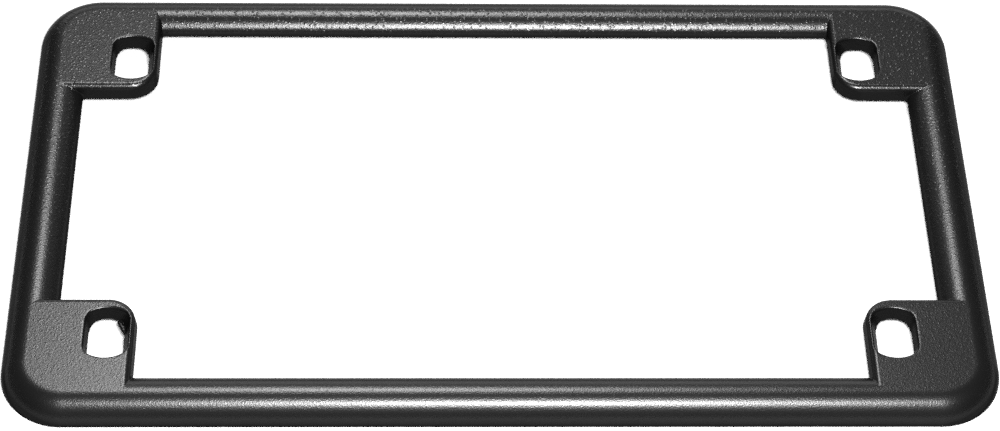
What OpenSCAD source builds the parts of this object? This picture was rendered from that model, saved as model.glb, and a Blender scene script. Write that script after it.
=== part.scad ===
// Number plate holder for a small plate: one casting, a rounded border with four corner pads.
// It lies on its back rim with the show face up. X runs along the long side, Y across the
// short side, and the origin is the middle of the back.

/* [Frame] */
// Length of the frame along its long side
frame_w = 184.6; // [176:0.1:230]
// Height of the frame across its short side
frame_d = 106.1; // [98:0.1:150]
// Thickness from the back rim to the front face
frame_h = 5.1; // [5.1:0.1:7]
// Radius of the outer corners, seen from the front
corner_r = 12.1; // [10.6:0.1:16]

/* [Bars] */
// Width of the top and bottom bars
long_bar_w = 9.3; // [9.2:0.1:10.5]
// Width of the two side bars
side_bar_w = 9.8; // [9.2:0.1:10.5]
// Radius of the round outer edge
outer_r = 5; // [3.5:0.1:5]
// Radius of the crown on the window side
crown_r = 4.8; // [3.6:0.1:5]
// Turn of the crown before the tighter shoulder takes over, in degrees
crown_turn = 45; // [35:1:50]
// Radius of the shoulder at the window
shoulder_r = 2.4; // [1.8:0.1:3]
// Draft of the walls round the window, in degrees
wall_draft = 7; // [3:0.5:10]

/* [Plate seat] */
// Thickness of the lip that the plate lies against
lip_t = 3.4; // [3.1:0.1:4.2]
// Thickness of the skirt round the plate
skirt_t = 1.9; // [1.2:0.1:3]

/* [Pads] */
// Distance between the bolt slots along the long side
pitch_x = 146.05; // [142:0.05:150]
// Distance between the bolt slots across the short side
pitch_y = 69.85; // [66:0.05:73]
// Metal between a slot's long side and the pad's free side
pad_side_t = 0.85; // [0.5:0.05:3]
// Metal between a slot's end and the pad's free end
pad_end_t = 2.3; // [1:0.1:5]
// Radius of the pad's free corner
pad_corner_r = 5; // [2:0.1:6]
// Radius of the edge round the pad's face
pad_edge_r = 0.5; // [0.2:0.1:1]

/* [Bolt slots] */
// Width of a slot at the front, below its rounded rim
slot_w = 8.1; // [7.2:0.1:9]
// Length of a slot at the front, below its rounded rim
slot_l = 11.5; // [10.2:0.1:12.5]
// Width of a slot at the back
slot_back_w = 6.5; // [6:0.1:7.2]
// Length of a slot at the back
slot_back_l = 11.1; // [9:0.1:11.4]
// How far a slot's back lies outside its mouth, away from the window
slot_back_out = 0.4; // [0:0.05:0.5]
// Radius of a slot's four corners at the front
slot_corner_r = 0.8; // [0.5:0.1:2]
// Radius of a slot's four corners at the back
slot_back_corner_r = 1.9; // [0.5:0.1:2.2]
// Radius of the rounded rim at a slot's mouth
rim_r = 0.4; // [0.2:0.1:0.5]

/* [Hidden] */
$fn = 64;
past = 0.5;
seat_z = frame_h - lip_t;
half_w = frame_w / 2;
half_d = frame_d / 2;

// Section of a bar's window side, measured from the crown's middle at the foot of the section:
// the shoulder arc's centre, the point where both arcs join, and the top and foot of the drafted wall
shoulder_x = (crown_r - shoulder_r) * sin(crown_turn);
shoulder_z = frame_h - crown_r + (crown_r - shoulder_r) * cos(crown_turn);
join_x = crown_r * sin(crown_turn);
join_z = frame_h - crown_r + crown_r * cos(crown_turn);
wall_x = shoulder_x + shoulder_r * cos(wall_draft);
wall_z = shoulder_z + shoulder_r * sin(wall_draft);
inner_reach = wall_x + (wall_z - seat_z) * tan(wall_draft);
wall_foot = wall_x + wall_z * tan(wall_draft);

// Narrow flat along the crown of each bar
long_flat = long_bar_w - outer_r - inner_reach;
side_flat = side_bar_w - outer_r - inner_reach;
least_flat = max(0, min(long_flat, side_flat));

// Free edges of a pad's face
pad_x = pitch_x / 2 - slot_w / 2 - pad_side_t;
pad_y = pitch_y / 2 - slot_l / 2 - pad_end_t;

// Straight lines of a pad, up to the crown of the bars
pad_far_x = half_w - outer_r - least_flat / 2;
pad_far_y = half_d - outer_r - least_flat / 2;

// A disc of radius r, cut to the wedge between two directions at most 90 degrees apart
module wedge(r, from, to) {
    intersection() {
        circle(r);
        polygon([[0, 0], 3 * r * [cos(from), sin(from)], 3 * r * [cos(to), sin(to)]]);
    }
}

// Whole section of a bar, from its outer edge at x = 0 towards the window
module bar_section(flat) {
    crown_x = outer_r + flat;
    polygon([[0, 0], [crown_x + wall_foot, 0], [crown_x + wall_x, wall_z], [crown_x + join_x, join_z],
             [crown_x, frame_h], [outer_r, frame_h], [0, frame_h - outer_r]]);
    translate([outer_r, frame_h - outer_r]) wedge(outer_r, 90, 180);
    translate([crown_x, frame_h - crown_r]) wedge(crown_r, 90 - crown_turn, 90);
    translate([crown_x + shoulder_x, shoulder_z]) wedge(shoulder_r, wall_draft, 90 - crown_turn);
}

// Section through a pad's free wall: its face would meet the wall at x = 0
module pad_section(reach) {
    edge_x = -pad_edge_r * (1 - sin(wall_draft)) / cos(wall_draft);
    edge_z = frame_h - pad_edge_r;
    translate([-reach, 0]) square([reach + edge_x, frame_h]);
    translate([edge_x, edge_z]) wedge(pad_edge_r, wall_draft, 90);
    polygon([[edge_x, 0], [frame_h * tan(wall_draft), 0],
             [edge_x + pad_edge_r * cos(wall_draft), edge_z + pad_edge_r * sin(wall_draft)],
             [edge_x, edge_z]]);
}

// Sweeps a section along X, with the section's own x towards Y
module sweep_x(length) { rotate([90, 0, 90]) linear_extrude(length) children(); }

// Sweeps a section along Y, with the section's own x away from X
module sweep_y(length) { rotate([90, 0, 180]) linear_extrude(length) children(); }

// Repeats a piece of the positive quarter in all four quarters
module four_quarters() {
    for (flip_x = [0, 1], flip_y = [0, 1])
        mirror([flip_x, 0, 0]) mirror([0, flip_y, 0]) children();
}

module border() {
    long_run = frame_w - 2 * corner_r;
    side_run = frame_d - 2 * corner_r;
    for (flip = [0, 1]) mirror([0, flip, 0])
        translate([-long_run / 2, half_d, 0]) mirror([0, 1, 0]) sweep_x(long_run) bar_section(long_flat);
    for (flip = [0, 1]) mirror([flip, 0, 0])
        translate([half_w, -side_run / 2, 0]) sweep_y(side_run) bar_section(side_flat);
    four_quarters()
        translate([half_w - corner_r, half_d - corner_r, 0]) rotate_extrude(angle = 90)
            translate([corner_r, 0]) mirror([1, 0]) bar_section(least_flat);
}

// One corner pad, flush with the crown of the bars
module pad() {
    round_x = pad_x + pad_corner_r;
    round_y = pad_y + pad_corner_r;
    // The core reaches into the walls and the round corner, so that no piece only touches the next
    core_x = round_x - pad_corner_r / 2;
    core_y = round_y - pad_corner_r / 2;
    linear_extrude(frame_h) intersection() {
        translate([core_x, core_y]) square([pad_far_x - core_x, pad_far_y - core_y]);
        union() {
            translate([half_w - corner_r, half_d - corner_r]) circle(pad_far_x - half_w + corner_r);
            square([half_w - corner_r, frame_d]);
            square([frame_w, half_d - corner_r]);
        }
    }
    translate([pad_x, round_y, 0]) sweep_y(pad_far_y - round_y) pad_section(pad_corner_r);
    translate([round_x, pad_y, 0]) sweep_x(pad_far_x - round_x) mirror([1, 0]) pad_section(pad_corner_r);
    translate([round_x, round_y, 0]) rotate([0, 0, 180]) rotate_extrude(angle = 90)
        translate([pad_corner_r, 0]) pad_section(pad_corner_r);
}

// Recess at the back that the plate lies in, up to the seat
module plate_recess() {
    recess_r = corner_r - skirt_t;
    translate([0, 0, -past]) linear_extrude(past + seat_z) {
        square([frame_w - 2 * corner_r, frame_d - 2 * skirt_t], center = true);
        square([frame_w - 2 * skirt_t, frame_d - 2 * corner_r], center = true);
        for (x = [-1, 1], y = [-1, 1])
            translate([x * (half_w - corner_r), y * (half_d - corner_r)]) circle(recess_r);
    }
}

// A quarter of a bolt slot's outline, from its straight side to the middle of its round end
function slot_quarter(w, l, r) =
    let (side_x = w / 2 - r,
         side_y = sqrt(pow(l / 2 - r, 2) - pow(side_x, 2)),
         meet = atan2(side_y, side_x))
    concat([for (i = [0:3]) [side_x, side_y] + r * [cos(meet * i / 3), sin(meet * i / 3)]],
           [for (i = [1:4]) let (a = meet + (90 - meet) * i / 4) l / 2 * [cos(a), sin(a)]]);

// The whole outline at place [x, z]: the quarter, its mirror image, and both turned half round
function slot_ring(w, l, r, place) =
    let (quarter = slot_quarter(w, l, r), last = len(quarter) - 1,
         half = concat(quarter, [for (i = [1:last]) [-quarter[last - i][0], quarter[last - i][1]]]))
    [for (side = [1, -1], p = half) [place[0] + side * p[0], side * p[1], place[1]]];

// A slot's tapered hole, wide at the front, with its mouth rounded over
module slot_cut() {
    rings = concat(
        [slot_ring(slot_back_w, slot_back_l, slot_back_corner_r, [slot_back_out, seat_z - past]),
         slot_ring(slot_back_w, slot_back_l, slot_back_corner_r, [slot_back_out, seat_z])],
        [for (a = [0:30:90]) let (wider = rim_r * (1 - cos(a)))
            slot_ring(slot_w + 2 * wider, slot_l + 2 * wider, slot_corner_r + wider,
                      [0, frame_h - rim_r + rim_r * sin(a)])],
        [slot_ring(slot_w + 2 * rim_r, slot_l + 2 * rim_r, slot_corner_r + rim_r, [0, frame_h + past])]);
    n = len(rings[0]);
    top = len(rings) - 1;
    polyhedron([for (ring = rings) for (p = ring) p], concat(
        [[for (i = [0:n - 1]) i], [for (i = [0:n - 1]) top * n + n - 1 - i]],
        [for (r = [0:top - 1], i = [0:n - 1]) [r * n + i, (r + 1) * n + i, (r + 1) * n + (i + 1) % n]],
        [for (r = [0:top - 1], i = [0:n - 1]) [r * n + i, (r + 1) * n + (i + 1) % n, r * n + (i + 1) % n]]));
}

module plate_frame() {
    color("#2a2b2c") difference() {
        union() {
            border();
            four_quarters() pad();
        }
        plate_recess();
        four_quarters() translate([pitch_x / 2, pitch_y / 2, 0]) slot_cut();
    }
}

plate_frame();
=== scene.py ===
# Number plate holder: one black powder coated casting on a white studio sweep.
import math

import bpy
import numpy as np
from mathutils import Matrix, Vector


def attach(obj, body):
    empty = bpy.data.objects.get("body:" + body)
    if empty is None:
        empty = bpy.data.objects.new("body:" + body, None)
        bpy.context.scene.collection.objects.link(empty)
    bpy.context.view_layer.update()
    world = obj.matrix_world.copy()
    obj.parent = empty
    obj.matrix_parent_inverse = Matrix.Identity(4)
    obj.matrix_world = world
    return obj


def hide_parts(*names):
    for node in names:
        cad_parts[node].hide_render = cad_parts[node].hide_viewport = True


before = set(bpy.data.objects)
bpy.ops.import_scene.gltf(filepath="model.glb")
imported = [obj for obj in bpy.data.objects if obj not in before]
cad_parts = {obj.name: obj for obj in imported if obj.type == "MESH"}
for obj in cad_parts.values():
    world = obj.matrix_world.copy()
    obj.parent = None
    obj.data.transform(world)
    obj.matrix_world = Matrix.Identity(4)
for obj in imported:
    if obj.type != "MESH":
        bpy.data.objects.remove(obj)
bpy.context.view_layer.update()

scene = bpy.context.scene

# The camera stands in front of the long lower bar and looks down at about half a right angle,
# turned and rolled by a few degrees, as the photograph was taken. Distances are in metres.
CAMERA_ELEVATION = 49.74
CAMERA_TURN = -2.378
CAMERA_ROLL = 1.894
CAMERA_DISTANCE = 0.5373
CAMERA_AIM = Vector((0.00024, -0.00241, 0.0))
NEAREST_SEEN = 0.05
SENSOR_WIDTH = 36.0
LENS = 99.66

elevation, turn, roll = (math.radians(a) for a in (CAMERA_ELEVATION, CAMERA_TURN, CAMERA_ROLL))
backward = Vector((math.sin(turn) * math.cos(elevation), -math.cos(turn) * math.cos(elevation),
                   math.sin(elevation)))
level_right = Vector((0, 0, 1)).cross(backward).normalized()
level_up = backward.cross(level_right)
right = level_right * math.cos(roll) + level_up * math.sin(roll)
up = level_up * math.cos(roll) - level_right * math.sin(roll)

camera_data = bpy.data.cameras.new("studio_camera")
camera_data.sensor_width = SENSOR_WIDTH
camera_data.lens = LENS
camera_data.clip_start = NEAREST_SEEN
camera = bpy.data.objects.new("studio_camera", camera_data)
camera.matrix_world = Matrix.Translation(CAMERA_AIM + backward * CAMERA_DISTANCE) @ Matrix(
    (right, up, backward)).transposed().to_4x4()
scene.collection.objects.link(camera)
scene.camera = camera


# The frame itself: one zinc die casting, black powder coated all over. The mesh is the skin of a
# distance field in millimetres, so that the bars, pads and slots run into each other with the
# small fillets and rounded rims of a casting.
HALF_LONG, HALF_SHORT, THICK = 92.3, 53.05, 5.1
OUTLINE_R = 12.1
OUTER_R = 5.0
LONG_BAR, SIDE_BAR = 9.3, 9.8
LONG_CROWN_R, SIDE_CROWN_R = 5.0, 5.8
CROWN_TURN = math.radians(45)
SHOULDER_R, DRAFT = 2.4, math.radians(7)
SEAT = 1.7
SKIRT = 1.9
RECESS_R = 0.3
BOLT_X, BOLT_Y = 73.025, 34.925
PAD_X, PAD_Y = 68.125, 26.875
PAD_CORNER_R = 5.0
PAD_EDGE_R = 1.0
# The root fillets start this far below the crown and reach their full radius as far again below it
ROOT_R, ROOT_START, ROOT_GROWTH = 0.6, 1.5, 1.5
SLOT_W, SLOT_L = 8.1, 11.5
SLOT_BACK_W, SLOT_BACK_L = 6.5, 11.1
SLOT_BACK_OUT = 0.4
SLOT_CORNER_R, SLOT_BACK_CORNER_R = 0.8, 1.9
RIM_R = 0.4
RIM_BACK_R = 0.15
BACK_EDGE_R = 0.2
# A lump of flash left across one corner of the lower left slot, low on its window side
LUMP, LUMP_RUN, LUMP_HALF = (-70.6, -31.6, 2.15), (0.447, -0.894), 1.25
LUMP_R, LUMP_ROOT_R = 0.42, 0.15


def rounded_meet(a, b, r):
    """Field of what lies inside both a and b, with their edge rounded to r."""
    return np.minimum(np.maximum(a, b), -r) + np.hypot(np.maximum(a + r, 0), np.maximum(b + r, 0))


def filleted_join(a, b, r):
    """Field of what lies inside a or b, with a fillet r where they meet."""
    return -rounded_meet(-a, -b, r)


def rounded_corner(qx, qy, r):
    """Distance from two straight sides and the round corner of radius r between them."""
    return np.minimum(np.maximum(qx, qy), 0) + np.hypot(np.maximum(qx, 0), np.maximum(qy, 0)) - r


def window_side(edge, width, crown_r, z):
    """Crown, shoulder and drafted wall of a bar; edge is the distance from its outer edge."""
    swing = crown_r - SHOULDER_R
    shoulder_x = swing * math.sin(CROWN_TURN)
    shoulder_z = THICK - crown_r + swing * math.cos(CROWN_TURN)
    foot = shoulder_x + SHOULDER_R * math.cos(DRAFT) + (
        shoulder_z + SHOULDER_R * math.sin(DRAFT) - SEAT) * math.tan(DRAFT)
    u = edge - (width - foot)
    across, above = u - shoulder_x, z - shoulder_z
    bearing = np.arctan2(above, across)
    crown = np.hypot(u, z - THICK + crown_r) - crown_r
    shoulder = np.hypot(across, above) - SHOULDER_R
    wall = across * math.cos(DRAFT) + above * math.sin(DRAFT) - SHOULDER_R
    field = np.where(bearing > math.pi / 2 - CROWN_TURN, crown,
                     np.where(bearing > DRAFT, shoulder, wall))
    return np.where(u < 0, z - THICK, field)


def casting(x, y, z):
    """Distance from the casting's skin in mm, negative inside the metal."""
    ax, ay = np.abs(x), np.abs(y)
    bars = np.minimum(window_side(HALF_LONG - ax, SIDE_BAR, SIDE_CROWN_R, z),
                      window_side(HALF_SHORT - ay, LONG_BAR, LONG_CROWN_R, z))
    plan = rounded_corner(PAD_X + PAD_CORNER_R - ax, PAD_Y + PAD_CORNER_R - ay, PAD_CORNER_R)
    free_wall = (plan - (THICK - z) * math.tan(DRAFT)) * math.cos(DRAFT)
    pads = rounded_meet(free_wall, z - THICK, PAD_EDGE_R)
    fillet = ROOT_R * np.clip((THICK - ROOT_START - z) / ROOT_GROWTH, 0, 1)
    field = filleted_join(bars, pads, fillet)

    outline = rounded_corner(ax - HALF_LONG + OUTLINE_R, ay - HALF_SHORT + OUTLINE_R, OUTLINE_R)
    out, high = OUTER_R + outline, z - THICK + OUTER_R
    skirt = np.where(out <= 0, z - THICK,
                     np.where(high <= 0, outline, np.hypot(out, high) - OUTER_R))
    field = rounded_meet(np.maximum(field, skirt), -z, BACK_EDGE_R)

    recess = rounded_meet(outline + SKIRT, z - SEAT, RECESS_R)
    field = rounded_meet(field, -recess, BACK_EDGE_R)

    down = np.clip((THICK - RIM_R - z) / (THICK - RIM_R - SEAT), 0, 1)
    sx, sy = ax - BOLT_X - SLOT_BACK_OUT * down, ay - BOLT_Y
    half_w = (SLOT_W + (SLOT_BACK_W - SLOT_W) * down) / 2
    half_l = (SLOT_L + (SLOT_BACK_L - SLOT_L) * down) / 2
    corner_r = SLOT_CORNER_R + (SLOT_BACK_CORNER_R - SLOT_CORNER_R) * down
    slot = rounded_meet(np.abs(sx) - half_w, np.hypot(sx, sy) - half_l, corner_r)
    field = rounded_meet(field, -slot, RIM_BACK_R + (RIM_R - RIM_BACK_R) * (1 - down))

    lump_x, lump_y, lump_z = x - LUMP[0], y - LUMP[1], z - LUMP[2]
    along = np.clip(lump_x * LUMP_RUN[0] + lump_y * LUMP_RUN[1], -LUMP_HALF, LUMP_HALF)
    lump = np.sqrt((lump_x - along * LUMP_RUN[0]) ** 2 + (lump_y - along * LUMP_RUN[1]) ** 2
                   + lump_z ** 2) - LUMP_R
    return filleted_join(field, lump, LUMP_ROOT_R)


def steps(stops):
    """Grid lines through (from, to, spacing) stretches from zero, mirrored about zero."""
    half = np.concatenate([np.arange(a, b - 1e-9, (b - a) / round((b - a) / s))
                           for a, b, s in stops])
    return np.concatenate([-half[:0:-1], half])


def skin(field, xs, ys, zs):
    """Points and quads of the surface where the field is zero, on a grid of uneven steps."""
    X, Y, Z = np.meshgrid(xs, ys, zs, indexing="ij")
    F = field(X, Y, Z)
    inside = F < 0
    n = (len(xs) - 1, len(ys) - 1, len(zs) - 1)
    total, count = np.zeros(n + (3,)), np.zeros(n)
    corners = [(i, j, k) for i in (0, 1) for j in (0, 1) for k in (0, 1)]
    part = lambda A, c: A[c[0]:c[0] + n[0], c[1]:c[1] + n[1], c[2]:c[2] + n[2]]
    # Each cell's point is the mean of the places where the field changes sign on its edges
    for a in corners:
        for axis in range(3):
            if a[axis]:
                continue
            b = tuple(1 if i == axis else a[i] for i in range(3))
            fa, fb = part(F, a), part(F, b)
            cross = (fa < 0) != (fb < 0)
            t = np.where(cross, fa / np.where(cross, fa - fb, 1), 0)
            for i, A in enumerate((X, Y, Z)):
                total[..., i] += np.where(cross, part(A, a) + t * (part(A, b) - part(A, a)), 0)
            count += cross
    used = count > 0
    ids = np.full(n, -1)
    ids[used] = np.arange(used.sum())
    points = total[used] / count[used][:, None]
    # A quad joins the four cells round each grid edge that the surface crosses
    quads = []
    for axis in range(3):
        lo = [slice(1, n[i]) for i in range(3)]
        lo[axis] = slice(0, n[axis])
        hi = list(lo)
        hi[axis] = slice(1, n[axis] + 1)
        a, b = inside[tuple(lo)], inside[tuple(hi)]
        at = np.argwhere(a != b)
        leaving = a[tuple(at.T)]
        at += [1 if i != axis else 0 for i in range(3)]
        p, q = (axis + 1) % 3, (axis + 2) % 3
        ring = []
        for dp, dq in ((1, 1), (0, 1), (0, 0), (1, 0)):
            cell = at.copy()
            cell[:, p] -= dp
            cell[:, q] -= dq
            ring.append(ids[tuple(cell.T)])
        ring = np.stack(ring, 1)
        quads.append(np.where(leaving[:, None], ring, ring[:, ::-1]))
    return points, np.concatenate(quads)


def slope(field, p, h=0.02):
    """Gradient of the field at points p."""
    shifts = np.eye(3) * h
    return np.stack([(field(*(p + s).T) - field(*(p - s).T)) / (2 * h) for s in shifts], 1)


# The bars' straight middles need long cells only; corners, pads and slots get fine ones. The
# grid's foot is placed so that no grid line lies in one of the flat faces.
COARSE, FINE = 1.55, 0.32
FINE_FROM_X, FINE_FROM_Y = 62, 21.5
GRID_END_X, GRID_END_Y = 93.2, 54
GRID_FOOT, GRID_TOP = -0.41, 5.6
grid_x = steps([(0, FINE_FROM_X, COARSE), (FINE_FROM_X, GRID_END_X, FINE)])
grid_y = steps([(0, FINE_FROM_Y, COARSE), (FINE_FROM_Y, GRID_END_Y, FINE)])
grid_z = np.arange(GRID_FOOT, GRID_TOP, FINE)
points, quads = skin(casting, grid_x, grid_y, grid_z)

# Newton steps move the points onto the field's true surface
NEWTON_STEPS, LONGEST_MOVE, LEAST_SLOPE2 = 4, 0.15, 0.2
for _ in range(NEWTON_STEPS):
    gradient = slope(casting, points)
    length2 = np.maximum((gradient ** 2).sum(1), LEAST_SLOPE2)
    move = gradient * (casting(*points.T) / length2)[:, None]
    points -= move / np.maximum(1, np.linalg.norm(move, axis=1) / LONGEST_MOVE)[:, None]
normals = slope(casting, points)
normals /= np.linalg.norm(normals, axis=1)[:, None]

MILLIMETRE = 0.001
plate_mesh = bpy.data.meshes.new("plate_surround")
plate_mesh.from_pydata((points * MILLIMETRE).tolist(), [], quads.tolist())
plate_mesh.shade_smooth()
plate_mesh.normals_split_custom_set_from_vertices(normals.tolist())
plate_surround = bpy.data.objects.new("plate_surround", plate_mesh)
scene.collection.objects.link(plate_surround)


def linear(hex_colour):
    """Linear RGBA of an sRGB hex colour."""
    parts = [int(hex_colour[i:i + 2], 16) / 255 for i in (1, 3, 5)]
    return [p / 12.92 if p <= 0.04045 else ((p + 0.055) / 1.055) ** 2.4 for p in parts] + [1.0]


def add(tree, kind, settings=(), links=()):
    """Adds a node; settings are attributes or sockets, links are socket: (node, output)."""
    node = tree.nodes.new(kind)
    for name, value in dict(settings).items():
        if isinstance(name, int) or name in node.inputs:
            node.inputs[name].default_value = value
        else:
            setattr(node, name, value)
    for name, (source, output) in dict(links).items():
        tree.links.new(source.outputs[output], node.inputs[name])
    return node


# Black polyester powder coat, sprayed and baked on the casting: a satin skin whose fine grain
# and orange peel break the studio lights into specks along the bars. Its IOR is matched to the
# photograph and lies under the resin's usual 1.5.
POWDER_BLACK = "#090909"
COAT_ROUGHNESS, COAT_IOR = 0.28, 1.36
# The photograph shows 0.2 mm to the pixel, so the powder's finest grain is drawn as coarse as this
GRAIN_MM, GRAIN_RISE_MM = 0.25, 0.03
PEBBLE_MM, PEBBLE_RISE_MM = 0.8, 0.033
coat = bpy.data.materials.new("powder_coat_black_baked")
coat.use_nodes = True
tree = coat.node_tree
tree.nodes.clear()
place = add(tree, "ShaderNodeTexCoord")
grain = add(tree, "ShaderNodeTexNoise",
            {"Scale": 1 / (GRAIN_MM * MILLIMETRE), "Detail": 2.0, "Roughness": 0.55},
            {"Vector": (place, "Object")})
pebble = add(tree, "ShaderNodeTexVoronoi",
             {"feature": "SMOOTH_F1", "Scale": 1 / (PEBBLE_MM * MILLIMETRE), "Smoothness": 0.15},
             {"Vector": (place, "Object")})
dome = add(tree, "ShaderNodeMapRange",
           {"interpolation_type": "SMOOTHSTEP", "From Min": 0.4, "From Max": 0.04,
            "To Min": 0.0, "To Max": 1.0}, {"Value": (pebble, "Distance")})
# The orange peel is strong on the far side and fades towards the near bar, as the photograph has it
across = add(tree, "ShaderNodeSeparateXYZ", {}, {"Vector": (place, "Object")})
coarser = add(tree, "ShaderNodeMapRange",
              {"From Min": -0.05, "From Max": 0.02, "To Min": 0.15, "To Max": 1.0},
              {"Value": (across, "Y")})
orange_peel = add(tree, "ShaderNodeBump", {"Distance": PEBBLE_RISE_MM * MILLIMETRE},
                  {"Height": (dome, "Result"), "Strength": (coarser, "Result")})
relief = add(tree, "ShaderNodeBump", {"Strength": 1.0, "Distance": GRAIN_RISE_MM * MILLIMETRE},
             {"Height": (grain, "Fac"), "Normal": (orange_peel, "Normal")})
# The gloss drops at grazing angles. On steep walls and on walls that lean sideways the reflection
# is cut down further by the normal's direction alone: painted shade, standing in for a dark room
# around the part. A smooth coat would mirror the white table there, and the photograph shows hardly
# any of that.
facing = add(tree, "ShaderNodeLayerWeight", {"Blend": 0.5})
grazing = add(tree, "ShaderNodeMapRange",
              {"From Min": 0.27, "From Max": 0.56, "To Min": 0.5, "To Max": 0.03},
              {"Value": (facing, "Facing")})
# Painted shade: the more a face stands steep or leans sideways, the less of the room it mirrors,
# whatever the lamps do
lean = add(tree, "ShaderNodeVectorMath", {"operation": "ABSOLUTE"}, {0: (place, "Normal")})
level = add(tree, "ShaderNodeVectorMath", {"operation": "DOT_PRODUCT", 1: (-0.5, 0.0, 1.0)},
            {0: (lean, "Vector")})
painted_wall_shade = add(tree, "ShaderNodeMapRange",
            {"From Min": 0.1, "From Max": 0.6, "To Min": 0.12, "To Max": 1.0},
            {"Value": (level, "Value")})
# The coat's gloss falling at grazing angles, times the painted shade on steep and sideways walls
gloss_and_painted_shade = add(tree, "ShaderNodeMath", {"operation": "MULTIPLY"},
            {0: (grazing, "Result"), 1: (painted_wall_shade, "Result")})
surface = add(tree, "ShaderNodeBsdfPrincipled",
              {"Base Color": linear(POWDER_BLACK), "Roughness": COAT_ROUGHNESS, "IOR": COAT_IOR},
              {"Normal": (relief, "Normal"), "Specular IOR Level": (gloss_and_painted_shade, "Value")})
add(tree, "ShaderNodeOutputMaterial", {}, {"Surface": (surface, "BSDF")})
plate_mesh.materials.append(coat)

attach(plate_surround, "root")
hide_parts("plate_frame")


# Studio table: one sheet of matt white board, large enough to fill the picture. Its colour is set
# to a light grey, which the lamps over-expose to the photograph's pure white.
BOARD_SIZE = 3.0
BOARD_BELOW = 0.0001
BOARD_PALE, BOARD_PALER = "#b2b2b2", "#b4b4b4"
BOARD_ROUGHNESS = 0.9
MOTTLE_SCALE = 4.0
board_mesh = bpy.data.meshes.new("studio_board")
reach = BOARD_SIZE / 2
board_mesh.from_pydata([(-reach, -reach, 0), (reach, -reach, 0), (reach, reach, 0),
                        (-reach, reach, 0)], [], [(0, 1, 2, 3)])
studio_board = bpy.data.objects.new("studio_board", board_mesh)
studio_board.location.z = -BOARD_BELOW
scene.collection.objects.link(studio_board)
matt_board = bpy.data.materials.new("white_board_matt")
matt_board.use_nodes = True
tree = matt_board.node_tree
tree.nodes.clear()
mottle = add(tree, "ShaderNodeTexNoise", {"Scale": MOTTLE_SCALE})
# 6 and 7 are the Mix node's two colour sockets
tone = add(tree, "ShaderNodeMix",
           {"data_type": "RGBA", 6: linear(BOARD_PALE), 7: linear(BOARD_PALER)},
           {"Factor": (mottle, "Fac")})
board = add(tree, "ShaderNodeBsdfPrincipled", {"Roughness": BOARD_ROUGHNESS},
            {"Base Color": (tone, 2)})
add(tree, "ShaderNodeOutputMaterial", {}, {"Surface": (board, "BSDF")})
board_mesh.materials.append(matt_board)


# Two soft boxes and two dim pale walls. One box hangs on the camera's side and one beyond the far
# bar, to the left; the walls stand behind the far bar and behind the camera.
def soft_box(name, spot, aim, width, height, watts):
    """An evenly lit rectangle at a spot, turned to face its aim, in metres and watts."""
    lamp = bpy.data.lights.new(name, "AREA")
    lamp.shape = "RECTANGLE"
    lamp.size, lamp.size_y, lamp.energy = width, height, watts
    box = bpy.data.objects.new(name, lamp)
    box.location = spot
    box.rotation_euler = (Vector(aim) - Vector(spot)).to_track_quat("-Z", "Y").to_euler()
    scene.collection.objects.link(box)


soft_box("front_soft_box", (0.022, -0.256, 0.379), (0, 0, 0), 0.15, 0.075, 7.0)
soft_box("far_soft_box", (-0.05, 0.455, 0.82), (0, 0, 0), 0.22, 0.2, 7.9)
soft_box("pale_wall", (0, 0.9, 0.25), (0, 0, 0.25), 1.0, 0.5, 4.1)
soft_box("pale_front", (0, -0.9, 0.38), (0, 0, 0.38), 1.6, 0.75, 1.0)

# The rest of the room is white and nearly dark
ROOM_STRENGTH = 0.06
room = bpy.data.worlds.new("studio_room")
room.use_nodes = True
room_air = room.node_tree.nodes["Background"]
room_air.inputs["Color"].default_value = (1, 1, 1, 1)
room_air.inputs["Strength"].default_value = ROOM_STRENGTH
scene.world = room
scene.view_settings.view_transform = "Standard"
# The denoiser takes the coat's grain, a pixel or two wide, for noise and wipes it away. Without
# it the render keeps its own sampling noise as well, so part of the speckle isn't the coat's.
scene.cycles.use_denoising = False
